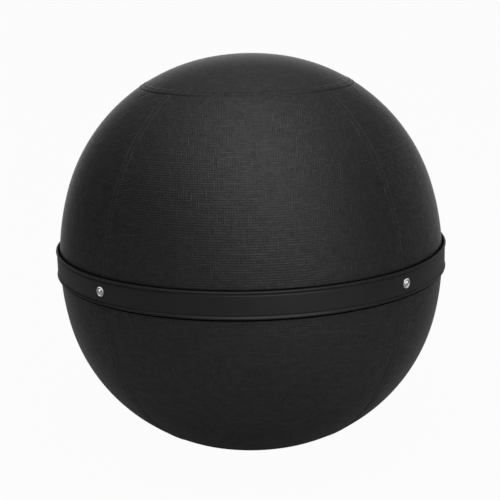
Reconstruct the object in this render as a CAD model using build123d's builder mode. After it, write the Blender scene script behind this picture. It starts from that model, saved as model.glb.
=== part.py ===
from build123d import *
from math import asin, cos, degrees, radians, sin
import os

# Form of the covered ball, millimetres
girth_radius = 273.0
girth_height = 257.0
crown_rise = 289.0
upper_side_radius = 355.0
upper_side_angle = 18.0
crown_angle = 80.0
lower_side_radius = 360.0
lower_side_angle = 12.5
base_radius = 105.0

# Cover
cover_thickness = 3.0
seam_gap = 0.3
seam_rounding = 1.0
cap_seam_angle = 57.2
panel_count = 4
first_seam = -135.0

# Zip round the base
zip_rise = 43.0
zip_start = -10.0
zip_span = 200.0
hem_offset = 7.0
hem_width = 10.0
hem_thickness = 1.8
tape_thickness = 0.8
tape_clearance = 0.2
lane_half = 1.0
tooth_length = 2.2
rail_width = 1.5
tooth_half_height = 1.3
tooth_pitch = 4.0
tooth_width = 2.2
stop_length = 4.0
slider_length = 13.0
slider_play = 0.35
slider_plate = 1.1
slider_lip = 1.1
slider_post_half = 0.6
slider_post_length = 3.5
crown_length = 7.0
crown_width = 2.4
crown_height = 3.9
crown_rounding = 1.3
pin_radius = 1.0
pin_clearance = 0.15
pull_length = 20.0
pull_width = 8.0
pull_thickness = 1.6
pull_arm = 1.6
pull_rounding = 2.0
pull_slot_width = 3.2
fork_clearance = 2.4

# Inner ball, its valve and the weight under it
ball_clearance = 0.4
ball_wall = 1.2
ball_settle_rise = 56.0
weight_top = 22.0
weight_hole_radius = 42.0
weight_margin = 2.0
weight_rounding = 6.0
pouch_wall = 1.2
pouch_clearance = 0.2
valve_bore_radius = 4.0
valve_neck_radius = 7.0
valve_flange_radius = 14.0
valve_flange_thickness = 1.5
valve_length = 13.5
valve_clearance = 0.1
valve_chamfer = 0.3
plug_head_radius = 9.0
plug_head_thickness = 2.1
plug_head_clearance = 0.2
plug_head_rounding = 0.5
plug_groove_count = 3
plug_groove_depth = 0.4
plug_groove_width = 1.0

# Belt round the girth
belt_lift = 8.0
belt_width = 36.0
belt_clearance = 0.5
lining_thickness = 1.4
face_thickness = 1.8
lining_margin = 0.8
welt_width = 4.6
welt_rise = 0.8
welt_rounding = 0.7
belt_joint_offset = 28.6
belt_joint_gap = 0.6
closing_seam = 2
tab_width = 24.0
tab_hinge_offset = 38.0
tab_hinge_gap = 0.6
tab_tip_offset = 21.5
tab_root_length = 38.0
tab_rounding = 9.0
root_rounding = 3.0

# Press studs
cap_radius = 6.5
cap_height = 2.4
cap_rim = 0.7
cap_post_radius = 1.6
post_clearance = 0.1
socket_radius = 5.7
socket_back = 0.25
socket_seating = 0.1
socket_recess_clearance = 0.3
socket_start = 0.95
socket_clearance = 0.35
stud_flange_radius = 5.0
stud_flange_thickness = 0.7
stud_ball_radius = 2.6
stud_ball_height = 0.8
rivet_head_radius = 5.5
rivet_head_thickness = 0.7
rivet_head_clearance = 0.2
rivet_radius = 1.6
rivet_reach = 0.6

# Arcs of the skin, each from one normal angle to the next: centre across, centre up, radius
half_cos = cos(radians(upper_side_angle))
half_sin = sin(radians(upper_side_angle))
crown_cos = cos(radians(crown_angle))
crown_sin = sin(radians(crown_angle))
across_sum = upper_side_radius * (1 - half_cos) - girth_radius
up_sum = crown_rise - upper_side_radius * half_sin
arc_scale = (crown_cos - half_cos) * (1 - crown_sin) + crown_cos * (crown_sin - half_sin)
shoulder_radius = (across_sum * (1 - crown_sin) + up_sum * crown_cos) / arc_scale
crown_radius = ((crown_cos - half_cos) * up_sum - (crown_sin - half_sin) * across_sum) / arc_scale
shoulder_step = upper_side_radius - shoulder_radius
shoulder_across = girth_radius - upper_side_radius + shoulder_step * half_cos
shoulder_up = girth_height + shoulder_step * half_sin
low_cos = cos(radians(lower_side_angle))
low_sin = sin(radians(lower_side_angle))
low_across = girth_radius - lower_side_radius * (1 - low_cos) - base_radius
low_up = girth_height - lower_side_radius * low_sin
haunch_radius = (low_across**2 + low_up**2) / (2 * (low_across * low_cos - low_up * low_sin))
haunch_step = lower_side_radius - haunch_radius
haunch_across = girth_radius - lower_side_radius + haunch_step * low_cos
haunch_up = girth_height - haunch_step * low_sin
skin = [
    (-90.0, -lower_side_angle, haunch_across, haunch_up, haunch_radius),
    (-lower_side_angle, 0.0, girth_radius - lower_side_radius, girth_height, lower_side_radius),
    (0.0, upper_side_angle, girth_radius - upper_side_radius, girth_height, upper_side_radius),
    (upper_side_angle, crown_angle, shoulder_across, shoulder_up, shoulder_radius),
    (crown_angle, 90.0, 0.0, girth_height + crown_rise - crown_radius, crown_radius),
]


def skin_point(angle, inset):
    low, high, across, up, radius = [arc for arc in skin if arc[0] <= angle <= arc[1]][0]
    reach = radius - inset
    return (across + reach * cos(radians(angle)), up + reach * sin(radians(angle)))


def skin_run(start, end, inset):
    for low, high, across, up, radius in skin:
        near = max(start, low)
        far = min(end, high)
        if far > near:
            CenterArc((across, up), radius - inset, near, far - near)


def band(start, end, outer, inner):
    skin_run(start, end, outer)
    skin_run(start, end, inner)
    Line(skin_point(start, outer), skin_point(start, inner))
    Line(skin_point(end, outer), skin_point(end, inner))


def on_outside(edge):
    return min(abs(edge.radius - arc[4]) for arc in skin) < seam_gap / 2


def upright(angle):
    across = (cos(radians(angle)), sin(radians(angle)), 0)
    return Plane(origin=(0, 0, 0), x_dir=across, z_dir=(across[1], -across[0], 0))


def stud_axis(angle):
    return Axis((0, 0, belt_height), (cos(radians(angle)), sin(radians(angle)), 0))


def stud_ring(inner, outer, start, end):
    with Locations(((start + end) / 2, belt_height + (inner + outer) / 2)):
        Rectangle(end - start, outer - inner)


def zip_band(low, high, outer, inner):
    band(zip_angle + low / haunch_degree, zip_angle + high / haunch_degree, outer, inner)


# Places that follow from the sizes above
haunch_degree = radians(haunch_radius)
shoulder_degree = radians(shoulder_radius)
girth_degree = radians(girth_radius)
base_angle = degrees(asin(-haunch_up / haunch_radius))
zip_angle = base_angle + zip_rise / haunch_degree
ball_settle_angle = zip_angle + ball_settle_rise / haunch_degree
lining_angle = degrees(asin((cover_thickness - haunch_up) / (haunch_radius - cover_thickness)))
lining_radius = skin_point(lining_angle, cover_thickness)[0]
hem_angle = hem_offset / haunch_degree
hem_end_angle = (hem_offset + hem_width) / haunch_degree
tape_level = hem_thickness + tape_clearance + tape_thickness / 2
zip_radius = skin_point(zip_angle, tape_level)[0]
zip_degree = radians(zip_radius)
panel_span = 360.0 / panel_count
seam_turn = seam_gap / girth_degree
belt_height = girth_height + belt_lift
belt_inner = girth_radius + belt_clearance
belt_middle = belt_inner + lining_thickness
belt_outer = belt_middle + face_thickness
tab_inner = belt_outer + belt_clearance
tab_middle = tab_inner + lining_thickness
tab_outer = tab_middle + face_thickness
seam_angles = [first_seam + index * panel_span for index in range(panel_count)]
closing_stud_angle = seam_angles[closing_seam]
fixed_stud_angles = [angle for angle in seam_angles if angle != closing_stud_angle]
belt_joint_angle = closing_stud_angle + belt_joint_offset / girth_degree
tab_hinge_angle = closing_stud_angle + tab_hinge_offset / girth_degree
tab_tip_angle = closing_stud_angle - tab_tip_offset / girth_degree
tab_root_angle = tab_hinge_angle + tab_root_length / girth_degree
tab_hinge_turn = tab_hinge_gap / girth_degree
socket_hole_radius = socket_radius + socket_recess_clearance
post_hole_radius = cap_post_radius + post_clearance
rivet_hole_radius = rivet_radius + post_clearance
dome_height = cap_height - cap_rim
dome_radius = (cap_radius**2 + dome_height**2) / (2 * dome_height)
dome_angle = degrees(asin(cap_radius / dome_radius))

# Round panel over the top of the ball
with BuildPart() as top_cap:
    with BuildSketch(upright(0)) as cap_section:
        with BuildLine():
            band(cap_seam_angle + seam_gap / shoulder_degree, 90.0, 0, cover_thickness)
        make_face()
        fillet(cap_section.vertices().sort_by(Axis.X)[-1], seam_rounding)
    revolve(axis=Axis.Z)
top_cap.part.label = "top_cap"

# Four side panels between the upright seams, thinned at the hem where the zip is sewn
panels = {}
for panel_name, start in zip(["front", "right", "back", "left"], seam_angles):
    with BuildPart() as side_panel:
        with BuildSketch(upright(start + seam_turn / 2)) as panel_section:
            with BuildLine():
                band(zip_angle + hem_angle, cap_seam_angle, 0, cover_thickness)
            make_face()
            with BuildLine():
                band(zip_angle + hem_angle, zip_angle + hem_end_angle, hem_thickness, cover_thickness)
            make_face(mode=Mode.SUBTRACT)
        revolve(axis=Axis.Z, revolution_arc=panel_span - seam_turn)
        ends = side_panel.faces().filter_by(GeomType.PLANE)
        rims = ends.edges().filter_by(GeomType.CIRCLE)
        fillet(rims.filter_by(on_outside), seam_rounding)
        for angle in [start, start + panel_span]:
            with BuildSketch(upright(angle)) as rivet_hole:
                stud_ring(0, rivet_hole_radius, girth_radius - 2 * cover_thickness, belt_outer)
            revolve(axis=stud_axis(angle), mode=Mode.SUBTRACT)
            with BuildSketch(upright(angle)) as rivet_recess:
                stud_ring(
                    0,
                    rivet_head_radius + rivet_head_clearance,
                    girth_radius - 2 * cover_thickness,
                    girth_radius - cover_thickness + rivet_head_thickness + rivet_head_clearance,
                )
            revolve(axis=stud_axis(angle), mode=Mode.SUBTRACT)
    side_panel.part.label = "side_panel_" + panel_name
    panels[panel_name] = side_panel.part

# Non-slip base panel: a flat disc with a skirt that rises to the zip
with BuildPart() as base_panel:
    with BuildSketch(upright(0)) as base_section:
        with BuildLine():
            skin_run(base_angle, zip_angle - hem_angle, 0)
            Line(skin_point(zip_angle - hem_angle, 0), skin_point(zip_angle - hem_angle, cover_thickness))
            skin_run(lining_angle, zip_angle - hem_angle, cover_thickness)
            Polyline(
                (lining_radius, cover_thickness),
                (0, cover_thickness),
                (0, 0),
                (base_radius, 0),
            )
        make_face()
        with BuildLine():
            band(zip_angle - hem_end_angle, zip_angle - hem_angle, hem_thickness, cover_thickness)
        make_face(mode=Mode.SUBTRACT)
    revolve(axis=Axis.Z)
base_panel.part.label = "base_panel"

# Sewn strip that joins the side panels to the base where there is no zip
with BuildPart() as base_bridge:
    with BuildSketch(upright(zip_start + zip_span + seam_turn)) as bridge_section:
        with BuildLine():
            zip_band(seam_gap - hem_offset, hem_offset - seam_gap, 0, cover_thickness)
        make_face()
    revolve(axis=Axis.Z, revolution_arc=360.0 - zip_span - 2 * seam_turn)
base_bridge.part.label = "base_bridge"

# Zip tapes, sewn under the two hems
tape_out = tape_level - tape_thickness / 2
tape_in = tape_level + tape_thickness / 2
rail_out = tape_level - tooth_half_height
rail_in = tape_level + tooth_half_height
rail_near = lane_half + tooth_length
rail_far = rail_near + rail_width
tape_near = rail_far + post_clearance
tape_far = hem_offset + hem_width - seam_gap
with BuildPart() as zip_tape_upper:
    with BuildSketch(upright(zip_start)) as upper_tape_section:
        with BuildLine():
            zip_band(tape_near, tape_far, tape_out, tape_in)
        make_face()
    revolve(axis=Axis.Z, revolution_arc=zip_span)
zip_tape_upper.part.label = "zip_tape_upper"

with BuildPart() as zip_tape_lower:
    with BuildSketch(upright(zip_start)) as lower_tape_section:
        with BuildLine():
            zip_band(-tape_far, -tape_near, tape_out, tape_in)
        make_face()
    revolve(axis=Axis.Z, revolution_arc=zip_span)
zip_tape_lower.part.label = "zip_tape_lower"

# Zip teeth, each row standing on the rail that grips its tape
stop_turn = stop_length / zip_degree
pitch_turn = tooth_pitch / zip_degree
tooth_turn = tooth_width / zip_degree
row_start = zip_start + stop_turn + pitch_turn
row_span = zip_span - 2 * stop_turn - 3 * pitch_turn
tooth_count = int(row_span / pitch_turn) + 1
with BuildPart() as upper_tooth:
    with BuildSketch(upright(0)) as upper_tooth_section:
        with BuildLine():
            zip_band(lane_half, rail_near + rail_width / 2, rail_out, rail_in)
        make_face()
    revolve(axis=Axis.Z, revolution_arc=tooth_turn)

with BuildPart() as zip_teeth_upper:
    with BuildSketch(upright(row_start - pitch_turn / 2)) as upper_rail_section:
        with BuildLine():
            zip_band(rail_near, rail_far, rail_out, rail_in)
        make_face()
    revolve(axis=Axis.Z, revolution_arc=tooth_count * pitch_turn)
    with PolarLocations(0, tooth_count, row_start, (tooth_count - 1) * pitch_turn, endpoint=True):
        add(upper_tooth.part)
zip_teeth_upper.part.label = "zip_teeth_upper"

with BuildPart() as lower_tooth:
    with BuildSketch(upright(0)) as lower_tooth_section:
        with BuildLine():
            zip_band(-rail_near - rail_width / 2, -lane_half, rail_out, rail_in)
        make_face()
    revolve(axis=Axis.Z, revolution_arc=tooth_turn)

lower_row_start = row_start + pitch_turn / 2
with BuildPart() as zip_teeth_lower:
    with BuildSketch(upright(lower_row_start - pitch_turn / 2)) as lower_rail_section:
        with BuildLine():
            zip_band(-rail_far, -rail_near, rail_out, rail_in)
        make_face()
    revolve(axis=Axis.Z, revolution_arc=tooth_count * pitch_turn)
    with PolarLocations(0, tooth_count, lower_row_start, (tooth_count - 1) * pitch_turn, endpoint=True):
        add(lower_tooth.part)
zip_teeth_lower.part.label = "zip_teeth_lower"

# End stops of the zip
with BuildPart() as zip_stops:
    for angle in [zip_start, zip_start + zip_span - stop_turn]:
        with BuildSketch(upright(angle)) as stop_section:
            with BuildLine():
                zip_band(-rail_far, rail_far, rail_out - seam_gap, rail_in + seam_gap)
            make_face()
        revolve(axis=Axis.Z, revolution_arc=stop_turn)
zip_stops.part.label = "zip_stops"

# Zip slider: two plates with lips that ride the teeth, a post between the rows, a crown for the pull
plate_near = tooth_half_height + slider_play
plate_far = plate_near + slider_plate
lip_near = tape_thickness / 2 + slider_play
lip_inside = rail_far + slider_play
lip_outside = lip_inside + slider_lip
slider_turn = slider_length / zip_degree
slider_angle = zip_start + stop_turn + seam_turn + slider_turn / 2
slider_from = slider_angle - slider_turn / 2
pin_level = tape_level - plate_far - crown_height / 2
pull_across, pull_up = skin_point(zip_angle, pin_level)
travel = (-sin(radians(slider_angle)), cos(radians(slider_angle)), 0)
outward = (
    cos(radians(zip_angle)) * cos(radians(slider_angle)),
    cos(radians(zip_angle)) * sin(radians(slider_angle)),
    sin(radians(zip_angle)),
)
pull_plane = Plane(
    origin=(pull_across * cos(radians(slider_angle)), pull_across * sin(radians(slider_angle)), pull_up),
    x_dir=travel,
    z_dir=outward,
)
pin_plane = Plane(origin=pull_plane.origin, x_dir=travel, z_dir=pull_plane.y_dir)
with BuildPart() as zip_slider:
    with BuildSketch(upright(slider_from)) as slider_section:
        for side in [-1, 1]:
            with BuildLine():
                plate_edges = sorted([tape_level + side * plate_near, tape_level + side * plate_far])
                zip_band(-lip_outside, lip_outside, plate_edges[0], plate_edges[1])
            make_face()
            lip_edges = sorted([tape_level + side * lip_near, tape_level + side * plate_near])
            with BuildLine():
                zip_band(-lip_outside, -lip_inside, lip_edges[0], lip_edges[1])
            make_face()
            with BuildLine():
                zip_band(lip_inside, lip_outside, lip_edges[0], lip_edges[1])
            make_face()
    revolve(axis=Axis.Z, revolution_arc=slider_turn)
    with BuildSketch(upright(slider_from)) as post_section:
        with BuildLine():
            zip_band(-slider_post_half, slider_post_half, tape_level - plate_far, tape_level + plate_far)
        make_face()
    revolve(axis=Axis.Z, revolution_arc=slider_post_length / zip_degree)
    with BuildSketch(pin_plane) as crown_section:
        RectangleRounded(crown_length, crown_height + slider_plate, crown_rounding)
    extrude(amount=crown_width / 2, both=True)
    with BuildSketch(pin_plane) as pin_hole:
        Circle(pin_radius + pin_clearance)
    extrude(amount=lip_outside, both=True, mode=Mode.SUBTRACT)
zip_slider.part.label = "zip_slider"

# Zip pull: a tab with two arms and a pin that turns in the crown
fork_depth = crown_length / 2 + fork_clearance
fork_width = crown_width + 2 * pin_clearance + seam_gap
with BuildPart() as zip_pull:
    with BuildSketch(pull_plane) as pull_outline:
        with Locations((pull_length / 2, 0)):
            RectangleRounded(pull_length + pull_arm * 2, pull_width, pull_rounding)
        with Locations(((fork_depth - pull_width) / 2, 0)):
            Rectangle(fork_depth + pull_width, fork_width, mode=Mode.SUBTRACT)
        with Locations((pull_length - pull_width / 2, 0)):
            SlotOverall(pull_width, pull_slot_width, mode=Mode.SUBTRACT)
    extrude(amount=pull_thickness / 2, both=True)
    with BuildSketch(pin_plane) as pin_section:
        Circle(pin_radius)
    extrude(amount=pull_width / 2 - pull_arm / 2, both=True)
zip_pull.part.label = "zip_pull"

# Inner ball: an inflated bladder that fills the cover and settles flat on the weight
ball_outer = cover_thickness + ball_clearance
ball_inner = ball_outer + ball_wall
ball_floor = weight_top + ball_clearance
settle_across, settle_up = skin_point(ball_settle_angle, ball_outer)
settle_radius = (settle_up - ball_floor) / (1 + sin(radians(ball_settle_angle)))
foot_across = settle_across - settle_radius * cos(radians(ball_settle_angle))
foot_up = ball_floor + settle_radius
foot_turn = 90.0 + ball_settle_angle
with BuildPart() as inner_ball:
    with BuildSketch(upright(0)) as ball_section:
        with BuildLine():
            skin_run(ball_settle_angle, 90.0, ball_outer)
            CenterArc((foot_across, foot_up), settle_radius, -90.0, foot_turn)
            Line((foot_across, ball_floor), (0, ball_floor))
            Line((0, ball_floor), skin_point(90.0, ball_outer))
        make_face()
        with BuildLine():
            skin_run(ball_settle_angle, 90.0, ball_inner)
            CenterArc((foot_across, foot_up), settle_radius - ball_wall, -90.0, foot_turn)
            Line((foot_across, ball_floor + ball_wall), (0, ball_floor + ball_wall))
            Line((0, ball_floor + ball_wall), skin_point(90.0, ball_inner))
        make_face(mode=Mode.SUBTRACT)
    revolve(axis=Axis.Z)
    with BuildSketch(Plane.XY) as neck_hole:
        Circle(valve_neck_radius + valve_clearance)
    extrude(amount=ball_floor + 2 * ball_wall, mode=Mode.SUBTRACT)
inner_ball.part.label = "inner_ball"

# Valve seat bonded into the foot of the inner ball
with BuildPart() as valve_seat:
    with BuildSketch(Plane.XY.offset(ball_floor)) as neck_outline:
        Circle(valve_neck_radius)
    extrude(amount=valve_length)
    with BuildSketch(Plane.XY.offset(ball_floor + ball_wall)) as flange_outline:
        Circle(valve_flange_radius)
    extrude(amount=valve_flange_thickness)
    with BuildSketch(Plane.XY.offset(ball_floor)) as bore_outline:
        Circle(valve_bore_radius)
    extrude(amount=valve_length, mode=Mode.SUBTRACT)
    chamfer(valve_seat.edges().group_by(Axis.Z)[0], valve_chamfer)
valve_seat.part.label = "valve_seat"

# Valve plug with a grooved shank and a flat head
head_top = ball_floor - plug_head_clearance
with BuildPart() as valve_plug:
    with BuildSketch(Plane.XY.offset(head_top - plug_head_thickness)) as head_outline:
        Circle(plug_head_radius)
    extrude(amount=plug_head_thickness)
    fillet(valve_plug.edges().filter_by(GeomType.CIRCLE), plug_head_rounding)
    with BuildSketch(Plane.XY.offset(head_top - plug_head_thickness / 2)) as shank_outline:
        Circle(valve_bore_radius - valve_clearance)
    extrude(amount=valve_length + plug_head_clearance)
    for step in range(plug_groove_count):
        groove_level = head_top + (step + 1) * valve_length / (plug_groove_count + 1)
        with BuildSketch(Plane.XY.offset(groove_level)) as groove_outline:
            Circle(valve_bore_radius)
            Circle(valve_bore_radius - valve_clearance - plug_groove_depth, mode=Mode.SUBTRACT)
        extrude(amount=plug_groove_width, mode=Mode.SUBTRACT)
valve_plug.part.label = "valve_plug"

# Ring-shaped weight in the base: a sewn pouch and the sand in it
weight_floor = cover_thickness + ball_clearance
weight_height = weight_top - weight_floor
weight_outer = lining_radius - weight_margin
weight_mid = (weight_hole_radius + weight_outer) / 2
weight_depth = weight_outer - weight_hole_radius
fill_inset = pouch_wall + pouch_clearance
with BuildPart() as ballast_pouch:
    with BuildSketch(upright(0)) as pouch_section:
        with Locations((weight_mid, weight_floor + weight_height / 2)):
            RectangleRounded(weight_depth, weight_height, weight_rounding)
            RectangleRounded(
                weight_depth - 2 * pouch_wall,
                weight_height - 2 * pouch_wall,
                weight_rounding - pouch_wall,
                mode=Mode.SUBTRACT,
            )
    revolve(axis=Axis.Z)
ballast_pouch.part.label = "ballast_pouch"

with BuildPart() as ballast_fill:
    with BuildSketch(upright(0)) as fill_section:
        with Locations((weight_mid, weight_floor + weight_height / 2)):
            RectangleRounded(
                weight_depth - 2 * fill_inset,
                weight_height - 2 * fill_inset,
                weight_rounding - fill_inset,
            )
    revolve(axis=Axis.Z)
ballast_fill.part.label = "ballast_fill"

# Belt lining: one strap whose ends meet under the closing tab
joint_turn = belt_joint_gap / girth_degree
with BuildPart() as belt_lining:
    with BuildSketch(upright(belt_joint_angle)) as lining_section:
        with Locations(((belt_inner + belt_middle) / 2, belt_height)):
            Rectangle(lining_thickness, belt_width - 2 * lining_margin)
    revolve(axis=Axis.Z, revolution_arc=360.0 - joint_turn)
    for angle in fixed_stud_angles:
        with BuildSketch(upright(angle)) as socket_hole:
            stud_ring(0, socket_hole_radius, girth_radius, belt_middle)
        revolve(axis=stud_axis(angle), mode=Mode.SUBTRACT)
    with BuildSketch(upright(closing_stud_angle)) as lining_rivet_hole:
        stud_ring(0, rivet_hole_radius, girth_radius, belt_outer)
    revolve(axis=stud_axis(closing_stud_angle), mode=Mode.SUBTRACT)
belt_lining.part.label = "belt_lining"

# Belt face with a rolled welt along each edge
welt_offset = belt_width / 2 - welt_width / 2
welt_depth = face_thickness + welt_rise
with BuildPart() as belt_face:
    with BuildSketch(upright(belt_joint_angle)) as face_section:
        with Locations(((belt_middle + belt_outer) / 2, belt_height)):
            Rectangle(face_thickness, belt_width - welt_width)
        for side in [-1, 1]:
            with Locations((belt_middle + welt_depth / 2, belt_height + side * welt_offset)):
                RectangleRounded(welt_depth, welt_width, welt_rounding)
    revolve(axis=Axis.Z, revolution_arc=360.0 - joint_turn)
    for angle in fixed_stud_angles:
        with BuildSketch(upright(angle)) as post_hole:
            stud_ring(0, post_hole_radius, belt_inner, tab_outer)
        revolve(axis=stud_axis(angle), mode=Mode.SUBTRACT)
    with BuildSketch(upright(closing_stud_angle)) as face_rivet_hole:
        stud_ring(0, rivet_hole_radius, belt_inner, tab_outer)
    revolve(axis=stud_axis(closing_stud_angle), mode=Mode.SUBTRACT)
belt_face.part.label = "belt_face"

# Root of the closing tab, sewn to one end of the belt
with BuildPart() as tab_root:
    with BuildSketch(upright(tab_hinge_angle + tab_hinge_turn / 2)) as root_section:
        with Locations(((tab_inner + tab_outer) / 2, belt_height)):
            Rectangle(tab_outer - tab_inner, tab_width)
    revolve(axis=Axis.Z, revolution_arc=tab_root_angle - tab_hinge_angle)
    root_ends = tab_root.edges().filter_by(GeomType.LINE).filter_by(Axis.Z, reverse=True)
    root_end = root_ends.sort_by(lambda edge: edge.center().Y / edge.center().X)[-2:]
    fillet(root_end, root_rounding)
tab_root.part.label = "tab_root"

# Flap of the closing tab, with a round tip, recessed for its press stud
flap_span = tab_hinge_angle - tab_tip_angle
with BuildPart() as tab_flap:
    with BuildSketch(upright(tab_tip_angle)) as flap_section:
        with Locations(((tab_inner + tab_outer) / 2, belt_height)):
            Rectangle(tab_outer - tab_inner, tab_width)
    revolve(axis=Axis.Z, revolution_arc=flap_span - tab_hinge_turn / 2)
    flap_ends = tab_flap.edges().filter_by(GeomType.LINE).filter_by(Axis.Z, reverse=True)
    flap_tip = flap_ends.sort_by(lambda edge: edge.center().Y / edge.center().X)[:2]
    fillet(flap_tip, tab_rounding)
    with BuildSketch(upright(closing_stud_angle)) as flap_recess:
        stud_ring(0, socket_hole_radius, belt_outer, tab_middle)
    revolve(axis=stud_axis(closing_stud_angle), mode=Mode.SUBTRACT)
    with BuildSketch(upright(closing_stud_angle)) as flap_hole:
        stud_ring(0, post_hole_radius, belt_outer, tab_outer + cap_height)
    revolve(axis=stud_axis(closing_stud_angle), mode=Mode.SUBTRACT)
tab_flap.part.label = "tab_flap"


# Sections of the press studs, drawn on an upright plane through the stud
def cap_lines(foot, back):
    Polyline(
        (back, belt_height),
        (back, belt_height + cap_post_radius),
        (foot, belt_height + cap_post_radius),
        (foot, belt_height + cap_radius),
        (foot + cap_rim, belt_height + cap_radius),
    )
    CenterArc((foot + cap_height - dome_radius, belt_height), dome_radius, 0, dome_angle)
    Line((foot + cap_height, belt_height), (back, belt_height))


def socket_profile(ground, back):
    stud_ring(cap_post_radius + post_clearance / 2, socket_radius, back - socket_back, back)
    stud_ring(stud_ball_radius + socket_clearance, socket_radius, ground + socket_start, back)


def stud_profile(ground):
    bore = rivet_radius + post_clearance / 2
    top = ground + stud_flange_thickness + stud_ball_height
    stud_ring(bore, stud_flange_radius, ground, ground + stud_flange_thickness)
    stud_ring(bore, stud_ball_radius, ground, ground + rivet_reach + post_clearance)
    stud_ring(0, stud_ball_radius, ground + rivet_reach + post_clearance, top)


def rivet_profile(ground):
    head = girth_radius - cover_thickness
    stud_ring(0, rivet_head_radius, head, head + rivet_head_thickness)
    stud_ring(0, rivet_radius, head, ground + rivet_reach)


# Press stud caps on the belt over three of the seams
with BuildPart() as stud_caps:
    for angle in fixed_stud_angles:
        with BuildSketch(upright(angle)) as cap_outline:
            with BuildLine():
                cap_lines(belt_outer, belt_middle - socket_seating - socket_back)
            make_face()
        revolve(axis=stud_axis(angle))
stud_caps.part.label = "stud_caps"

# Press stud sockets behind those caps
with BuildPart() as stud_sockets:
    for angle in fixed_stud_angles:
        with BuildSketch(upright(angle)) as socket_outline:
            socket_profile(girth_radius, belt_middle - socket_seating)
        revolve(axis=stud_axis(angle))
stud_sockets.part.label = "stud_sockets"

# Press studs: three on the cover's seams and the closing one on the belt
with BuildPart() as press_studs:
    for angle in seam_angles:
        ground = belt_outer if angle == closing_stud_angle else girth_radius
        with BuildSketch(upright(angle)) as stud_outline:
            stud_profile(ground)
        revolve(axis=stud_axis(angle))
press_studs.part.label = "press_studs"

# Rivets that hold the press studs from inside the cover
with BuildPart() as stud_rivets:
    for angle in seam_angles:
        ground = belt_outer if angle == closing_stud_angle else girth_radius
        with BuildSketch(upright(angle)) as rivet_outline:
            rivet_profile(ground)
        revolve(axis=stud_axis(angle))
stud_rivets.part.label = "stud_rivets"

# Cap and socket of the closing stud, on the tab
with BuildPart() as tab_cap:
    with BuildSketch(upright(closing_stud_angle)) as tab_cap_outline:
        with BuildLine():
            cap_lines(tab_outer, tab_middle - socket_seating - socket_back)
        make_face()
    revolve(axis=stud_axis(closing_stud_angle))
tab_cap.part.label = "tab_cap"

with BuildPart() as tab_socket:
    with BuildSketch(upright(closing_stud_angle)) as tab_socket_outline:
        socket_profile(belt_outer, tab_middle - socket_seating)
    revolve(axis=stud_axis(closing_stud_angle))
tab_socket.part.label = "tab_socket"

# Write one STEP file per piece
os.makedirs("parts", exist_ok=True)
export_step(inner_ball.part, "parts/inner_ball.step")
export_step(valve_seat.part, "parts/valve_seat.step")
export_step(valve_plug.part, "parts/valve_plug.step")
export_step(top_cap.part, "parts/top_cap.step")
export_step(panels["front"], "parts/side_panel_front.step")
export_step(panels["right"], "parts/side_panel_right.step")
export_step(panels["back"], "parts/side_panel_back.step")
export_step(panels["left"], "parts/side_panel_left.step")
export_step(base_panel.part, "parts/base_panel.step")
export_step(base_bridge.part, "parts/base_bridge.step")
export_step(ballast_pouch.part, "parts/ballast_pouch.step")
export_step(ballast_fill.part, "parts/ballast_fill.step")
export_step(zip_tape_upper.part, "parts/zip_tape_upper.step")
export_step(zip_tape_lower.part, "parts/zip_tape_lower.step")
export_step(zip_teeth_upper.part, "parts/zip_teeth_upper.step")
export_step(zip_teeth_lower.part, "parts/zip_teeth_lower.step")
export_step(zip_stops.part, "parts/zip_stops.step")
export_step(zip_slider.part, "parts/zip_slider.step")
export_step(zip_pull.part, "parts/zip_pull.step")
export_step(belt_face.part, "parts/belt_face.step")
export_step(belt_lining.part, "parts/belt_lining.step")
export_step(tab_root.part, "parts/tab_root.step")
export_step(tab_flap.part, "parts/tab_flap.step")
export_step(tab_cap.part, "parts/tab_cap.step")
export_step(tab_socket.part, "parts/tab_socket.step")
export_step(stud_caps.part, "parts/stud_caps.step")
export_step(stud_sockets.part, "parts/stud_sockets.step")
export_step(press_studs.part, "parts/press_studs.step")
export_step(stud_rivets.part, "parts/stud_rivets.step")
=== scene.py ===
import math

import bpy
import numpy as np
from mathutils import Matrix, Vector


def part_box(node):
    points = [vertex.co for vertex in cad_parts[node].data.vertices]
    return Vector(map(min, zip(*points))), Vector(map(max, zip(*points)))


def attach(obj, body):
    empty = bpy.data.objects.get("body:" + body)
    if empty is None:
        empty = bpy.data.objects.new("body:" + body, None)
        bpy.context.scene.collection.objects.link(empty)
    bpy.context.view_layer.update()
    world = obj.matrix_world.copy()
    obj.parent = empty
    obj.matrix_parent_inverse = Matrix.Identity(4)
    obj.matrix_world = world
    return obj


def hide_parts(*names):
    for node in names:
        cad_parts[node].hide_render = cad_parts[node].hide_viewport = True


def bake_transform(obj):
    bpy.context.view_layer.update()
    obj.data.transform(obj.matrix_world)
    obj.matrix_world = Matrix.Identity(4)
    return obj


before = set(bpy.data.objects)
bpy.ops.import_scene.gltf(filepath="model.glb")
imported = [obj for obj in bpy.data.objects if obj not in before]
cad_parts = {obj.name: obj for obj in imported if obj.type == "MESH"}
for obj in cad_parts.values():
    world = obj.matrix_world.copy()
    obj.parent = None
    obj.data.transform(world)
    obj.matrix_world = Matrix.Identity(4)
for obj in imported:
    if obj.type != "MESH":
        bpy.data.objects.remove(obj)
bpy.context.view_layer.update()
print("frame loaded:", len(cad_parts), "nodes")

mm = 0.001  # sizes below are in metres, small ones written as millimetres times mm

ballForm = dict(  # outer skin of the cover, the same arcs as the solids
    girthRadius=0.273, girthHeight=0.257, crownRise=0.289, baseRadius=0.105,
    upperRadius=0.355, upperAngle=18.0, crownAngle=80.0,
    lowerRadius=0.360, lowerAngle=12.5)


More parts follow.
